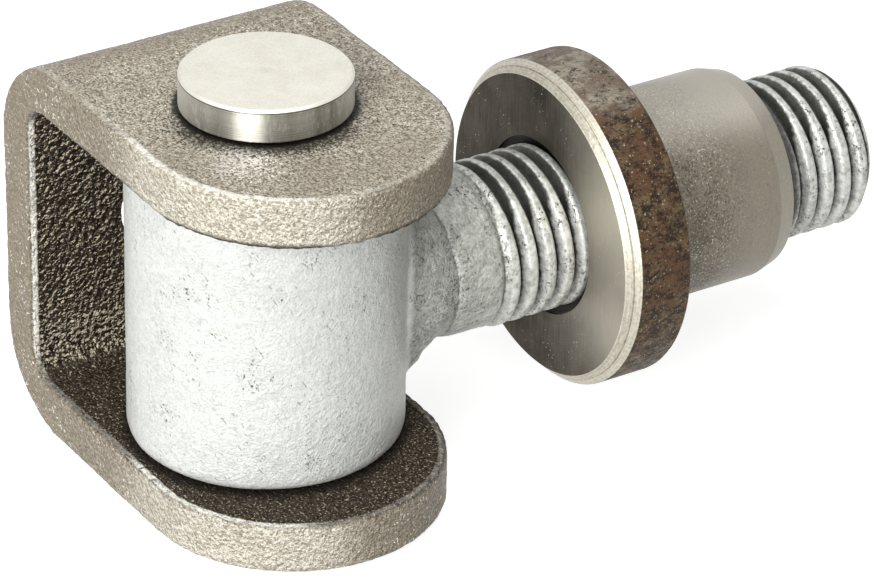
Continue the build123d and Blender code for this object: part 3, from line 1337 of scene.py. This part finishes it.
@dataclass
class EyeBolt:
    """One forging: a tall barrel, a saddle that flares out to it, a round neck and a threaded stud."""

    barrel_radius: float = mm(16.25)
    barrel_height: float = mm(35.4)
    barrel_round: float = mm(1.3)
    bore_radius: float = mm(6.08)
    bore_chamfer: float = mm(0.6)
    saddle_start: float = mm(12.85)
    saddle_end: float = mm(20.25)
    root_half_width: float = mm(10.3)
    root_half_height: float = mm(14.8)
    saddle_end_radius: float = mm(9.2)
    saddle_steps: int = 14
    neck_radius: float = mm(9.6)
    neck_end: float = mm(26.45)
    run_out: float = mm(1.8)
    stud_end: float = mm(79.95)
    end_chamfer: float = mm(1.6)
    shoulder_round: float = mm(0.35)
    shoulder_turn: float = math.pi
    barrel_steps: int = 160
    saddle_sides: int = 96
    saddle_root: float = mm(4)
    saddle_overlap: float = mm(2)
    forged_reach: float = mm(1.5)
    run_out_lead: float = mm(0.5)
    wander_height: float = mm(0.45)
    wander_turns: float = 1.6
    wander_seed: float = 3.7
    shoulder_start: float = mm(0.3)
    low_slope: float = mm(3.0)
    stud_overlap: float = mm(0.8)
    stud_core: float = mm(1)
    barrel_round_steps: int = 6
    voxel: float = mm(0.37)
    relaxing: int = 5
    thread: ThreadForm = field(default_factory=ThreadForm)
    reliefs: tuple[Relief, ...] = (
        (mm(7.0), mm(0.14), 1), (mm(1.3), mm(0.05), 1), (mm(2.4), mm(0.55), 2, "forged"),
    )
    stud_relief: Relief = (mm(1.6), mm(0.08), 2)
    finish: GalvanisedZinc = field(default_factory=GalvanisedZinc)

    def barrel(self) -> Piece:
        """Turn the eye's barrel with its bore.

        Returns:
            The barrel.
        """
        top = self.barrel_height / 2
        mouth = self.bore_radius + self.bore_chamfer
        barrel = Bench.turned("eye_bolt_forging", rounded([
            (self.bore_radius, -top + self.bore_chamfer),
            (mouth, -top),
            (self.barrel_radius, -top, self.barrel_round, self.barrel_round_steps),
            (self.barrel_radius, top, self.barrel_round, self.barrel_round_steps),
            (mouth, top),
            (self.bore_radius, top - self.bore_chamfer),
        ]), self.barrel_steps, closed=True)
        Bench.place(barrel, ON_PIN)
        return barrel

    def flare(self, share: float) -> float:
        """Return how far the saddle still stands out at a share of its length: 1 at the root, 0 at the neck."""
        return (1 + math.cos(math.pi * share)) / 2

    def saddle(self) -> Piece:
        """Draw the saddle out ring by ring from an oval inside the barrel.

        Returns:
            The saddle.
        """
        centre = Vector((PIN_X, self.saddle_start - self.saddle_root, STUD_Z))
        bpy.ops.mesh.primitive_circle_add(vertices=self.saddle_sides, radius=self.root_half_width, fill_type="NGON")
        saddle = bpy.context.object
        with Bench.editing(saddle):
            bpy.ops.transform.resize(value=(1, self.root_half_height / self.root_half_width, 1))
        Bench.place(saddle, centre, (math.pi / 2, 0, 0))
        stations = [(self.saddle_start, self.root_half_width, self.root_half_height)]
        for step in range(1, self.saddle_steps + 1):
            share = step / self.saddle_steps
            spread = self.flare(share)
            width = self.saddle_end_radius + spread * (self.root_half_width - self.saddle_end_radius)
            height = self.saddle_end_radius + spread * (self.root_half_height - self.saddle_end_radius)
            stations.append((self.saddle_start + share * (self.saddle_end - self.saddle_start), width, height))
        stations.append((self.saddle_end + self.saddle_overlap, self.saddle_end_radius, self.saddle_end_radius))
        with Bench.editing(saddle):
            at, wide, tall = centre.y, self.root_half_width, self.root_half_height
            for distance, width, height in stations:
                bpy.ops.mesh.extrude_region_move(TRANSFORM_OT_translate={"value": (0, distance - at, 0)})
                bpy.ops.transform.resize(
                    value=(width / wide, 1, height / tall), center_override=(PIN_X, distance, STUD_Z)
                )
                at, wide, tall = distance, width, height
        Bench.weld(saddle)
        return saddle

    def mark_forged(self, forging: Piece) -> None:
        """Name the points of the saddle, so that its lumps stay off the barrel's face.

        Args:
            forging: Barrel and saddle as one skin.
        """
        group = forging.vertex_groups.new(name="forged")
        for point in forging.data.vertices:
            from_pin = math.hypot(point.co.x - PIN_X, point.co.y)
            share = (from_pin - self.barrel_radius) / self.forged_reach
            if share > 0:
                group.add([point.index], min(1.0, share), "REPLACE")

    def forging(self) -> Piece:
        """Join barrel and saddle.

        Returns:
            Both as one skin, with the zinc's runs and the hammer's marks.
        """
        forging, saddle = self.barrel(), self.saddle()
        Bench.pick(forging, saddle)
        bpy.ops.object.join()
        Bench.skin(forging, self.voxel, self.relaxing)
        self.mark_forged(forging)
        for relief in self.reliefs:
            Bench.roughen(forging, *relief)
        return forging

    def shape_radius(self, radius: float, along: float, angle: float) -> float:
        """Return the stud's radius where the thread runs out, at the neck's shoulder and at the end.

        Args:
            radius: The full thread's radius here.
            along: The distance from the pin's axis.
            angle: The angle about the stud.

        Returns:
            The radius of the real surface.
        """
        share = (along - self.neck_end + self.run_out_lead) / self.run_out
        share = max(0.0, min(1.0, share))
        share = share * share * (3 - 2 * share)
        shaped = self.neck_radius + (radius - self.neck_radius) * share
        around = Vector((math.cos(angle) * self.wander_turns, math.sin(angle) * self.wander_turns, self.wander_seed))
        wander = self.wander_height * noise.noise(around)
        downwards = max(0.0, -math.sin(angle + self.shoulder_turn))
        slope = self.shoulder_round + self.low_slope * downwards ** 2
        rise = (along - self.saddle_end - self.shoulder_start - wander) / slope
        step = self.neck_radius - self.saddle_end_radius
        if rise < 1:
            shaped -= step * (1 - math.sqrt(1 - (1 - max(0.0, rise)) ** 2))
        return min(shaped, self.thread.crest_radius + self.stud_end - self.end_chamfer - along)

    def stud(self) -> Piece:
        """Form the neck and the threaded stud.

        Returns:
            Both as one piece.
        """
        stud = self.thread.rod("stud", self.saddle_end - self.stud_overlap, self.stud_end)
        for point in stud.data.vertices:
            radius = math.hypot(point.co.x, point.co.y)
            if radius > self.stud_core:
                angle = math.atan2(point.co.y, point.co.x)
                scale = self.shape_radius(radius, point.co.z, angle) / radius
                point.co.x *= scale
                point.co.y *= scale
        Bench.onto_stud(stud)
        Bench.roughen(stud, *self.stud_relief)
        return stud

    def build(self) -> Piece:
        """Build and dress the eye bolt.

        Returns:
            The finished eye bolt.
        """
        forging, stud = self.forging(), self.stud()
        Bench.pick(forging, stud)
        bpy.ops.object.join()
        Bench.smooth(forging, 60.0)
        material = self.finish.material(
            self.thread, self.neck_end, self.barrel_radius, self.barrel_height / 2, WeldNut.end
        )
        forging.data.materials.append(material)
        Bench.hand_over(forging, "eye_bolt", "eye_bolt", Slot.EYE_BOLT)
        return forging


@dataclass
class WeldNut:
    """Turned in one piece: a flange that faces the eye, and a boss that goes into the gate."""

    flange_radius: float = mm(20.0)
    front: float = mm(37.45)
    back: float = mm(45.95)
    end: float = mm(65.95)
    front_chamfer: float = mm(1.5)
    back_round: float = mm(0.7)
    lead_length: float = mm(2.5)
    lead_depth: float = mm(0.7)
    mouth_radius: float = mm(11.0)
    mouth_depth: float = mm(0.9)
    tapped_radius: float = mm(9.0)
    groove_width: float = mm(0.12)
    groove_depth: float = mm(0.10)
    face_round: float = mm(0.12)
    rim_round: float = mm(0.15)
    back_steps: int = 5
    root_round: float = mm(0.4)
    lead_round: float = mm(1.2)
    end_round: float = mm(0.3)
    steps: int = 256
    tap: ThreadForm = field(
        default_factory=lambda: ThreadForm(crest_radius=mm(10.25), root_radius=mm(8.9), crest_breadth=2.2)
    )
    tap_beyond: float = mm(1)

    def section(self) -> list[Point]:
        """Draw the nut's outline, with a tool mark half-way up the front chamfer.

        Returns:
            Its half section, a closed ring.
        """
        boss = mm(mount("nut_boss")["dims"]["r_mm"])
        radius = self.flange_radius - self.front_chamfer / 2
        height = self.front + self.front_chamfer / 2
        along = self.groove_width / math.sqrt(2)
        deep = self.groove_depth / math.sqrt(2)
        return rounded([
            (self.tapped_radius, self.front + self.mouth_depth),
            (self.mouth_radius, self.front + self.mouth_depth / 2),
            (self.mouth_radius, self.front),
            (self.flange_radius - self.front_chamfer, self.front, self.face_round),
            (radius - along, height - along),
            (radius - deep, height + deep),
            (radius + along, height + along),
            (self.flange_radius, self.front + self.front_chamfer, self.rim_round),
            (self.flange_radius, self.back, self.back_round, self.back_steps),
            (boss, self.back, self.root_round),
            (boss, self.end - self.lead_length, self.lead_round),
            (boss - self.lead_depth, self.end, self.end_round),
            (self.mouth_radius, self.end),
            (self.tapped_radius, self.end - self.mouth_depth),
        ])

    def dress(self, nut: Piece) -> None:
        """Give the face, the chamfer, the rim and the boss their own finishes.

        Args:
            nut: The turned nut.
        """
        finishes = [
            TurnedFace().material(self.mouth_radius),
            BrightChamfer().material(),
            MillScale().material(),
            DullBoss().material(self.back, self.end),
        ]
        for finish in finishes:
            nut.data.materials.append(finish)
        for face in nut.data.polygons:
            centre = face.center
            radius = math.hypot(centre.x - PIN_X, centre.z - STUD_Z)
            face.material_index = self.zone(radius, centre.y)

    def zone(self, radius: float, along: float) -> Zone:
        """Tell which finish a face has.

        Args:
            radius: Its distance from the stud's axis.
            along: Its place along the stud.

        Returns:
            The finish's place.
        """
        if along > self.back + mm(0.1) and radius > self.tapped_radius + mm(0.5):
            return Zone.BOSS
        if along < self.front + self.front_chamfer - mm(0.02):
            return Zone.CHAMFER if radius > self.flange_radius - self.front_chamfer + mm(0.03) else Zone.FACE
        if radius > self.flange_radius - mm(0.25):
            return Zone.RIM
        return Zone.FACE

    def build(self) -> Piece:
        """Build and dress the nut.

        Returns:
            The finished nut.
        """
        nut = Bench.turned("nut_turned", self.section(), self.steps, closed=True)
        Bench.cut(nut, self.tap.rod("tap", self.front - self.tap_beyond, self.end + self.tap_beyond))
        Bench.onto_stud(nut)
        Bench.smooth(nut, 25.0)
        self.dress(nut)
        Bench.hand_over(nut, "weld_nut", "nut", Slot.NUT)
        return nut


@dataclass
class Studio:
    """Plain white sweep, soft lamps and the camera."""

    azimuth: float = 57.41
    elevation: float = 29.53
    roll: float = 1.10
    focal_px: float = 5219.0
    distance: float = mm(602.0)
    aside: float = mm(-20.01)
    below: float = mm(-1.86)
    sensor: float = 36.0
    photo_width: int = 879
    surround: float = 0.06
    floor_side: float = 4.0
    floor_glow: float = 0.87
    floor_gap: float = mm(0.1)
    lamps_aim: Vector = field(default_factory=lambda: Vector((PIN_X, mm(30), 0)))
    lamps: tuple[tuple[Union[str, float], ...], ...] = (
        ("key", -22, 22, 0.36, 5.2), ("side", -84, 12, 0.30, 0.2), ("top", -10, 80, 0.6, 3.0),
    )

    def axes(self) -> tuple[Vector, Vector, Vector]:
        """Work out how the camera stands.

        Returns:
            Its right, up and viewing directions.
        """
        turn, lift, lean = (math.radians(a) for a in (self.azimuth, self.elevation, self.roll))
        right = Vector((math.cos(turn), math.sin(turn), 0))
        look = Vector((-math.sin(turn) * math.cos(lift), math.cos(turn) * math.cos(lift), -math.sin(lift)))
        up = right.cross(look)
        tilted = math.cos(lean) * right + math.sin(lean) * up
        return tilted, -math.sin(lean) * right + math.cos(lean) * up, look

    def camera(self) -> None:
        """Set the camera where the photographer's stood."""
        right, up, look = self.axes()
        bpy.ops.object.camera_add(location=ON_BOTH - self.aside * right - self.below * up - self.distance * look)
        camera = bpy.context.object
        camera.rotation_euler = Matrix((right, up, -look)).transposed().to_euler()
        camera.data.sensor_fit = "HORIZONTAL"
        camera.data.sensor_width = self.sensor
        camera.data.lens = self.focal_px * self.sensor / self.photo_width
        camera.data.clip_start = mm(20)
        bpy.context.scene.camera = camera

    def world(self) -> None:
        """Give the room a soft grey for light, and white for the camera and for reflections."""
        world = bpy.data.worlds.new("room")
        bpy.context.scene.world = world
        world.use_nodes = True
        tree = NodeTree(world.node_tree)
        background = tree.tree.nodes["Background"]
        strength = tree.node("ShaderNodeMapRange", {"Value": tree.seen(), "To Min": self.surround, "To Max": 1.0})
        tree.plug(strength.outputs["Result"], background.inputs["Strength"])
        tree.plug((1, 1, 1, 1), background.inputs["Color"])

    def floor(self) -> None:
        """Lay a white floor under the hinge that keeps a soft shadow."""
        low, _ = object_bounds()
        bpy.ops.mesh.primitive_plane_add(size=self.floor_side, location=(0, 0, low.z - self.floor_gap))
        floor = bpy.context.object
        floor.name = "floor"
        mix = Recipe("white_floor", specular=0.0)
        mix.feed("Base Color", (0.45, 0.45, 0.45, 1))
        mix.feed("Roughness", 0.9)
        mix.feed("Emission Color", (1, 1, 1, 1))
        mix.feed("Emission Strength", mix.seen() * self.floor_glow)
        floor.data.materials.append(mix.material)
        floor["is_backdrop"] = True

    def lamp(self, name: str, azimuth: float, elevation: float, size: float, power: float,
             distance: float = 0.7) -> None:
        """Hang a soft lamp that points at the hinge.

        Args:
            name: The lamp's name.
            azimuth: Its bearing, seen from the hinge, in degrees from the camera's own.
            elevation: Its height above the horizon in degrees.
            size: The side of its square.
            power: Its power in watts.
            distance: How far it hangs from the hinge.
        """
        turn = math.radians(self.azimuth + azimuth)
        lift = math.radians(elevation)
        towards = Vector((math.sin(turn) * math.cos(lift), -math.cos(turn) * math.cos(lift), math.sin(lift)))
        bpy.ops.object.light_add(type="AREA", location=self.lamps_aim + towards * distance)
        lamp = bpy.context.object
        lamp.name = name
        lamp.rotation_euler = (-towards).to_track_quat("-Z", "Y").to_euler()
        lamp.data.size = size
        lamp.data.energy = power

    def build(self) -> None:
        """Set up the whole studio."""
        bpy.context.scene.view_settings.view_transform = "Standard"
        self.world()
        self.floor()
        for lamp in self.lamps:
            self.lamp(*lamp)
        self.camera()


def main() -> None:
    """Build the hinge piece by piece, then the studio round it."""
    logging.basicConfig(level=logging.INFO, format="%(message)s")
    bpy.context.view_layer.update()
    for part in (Bracket(), HingePin(), EyeBolt(), WeldNut()):
        piece = part.build()
        log.info("%s: %d faces", piece.name, len(piece.data.polygons))
    Studio().build()


if __name__ == "__main__":
    main()
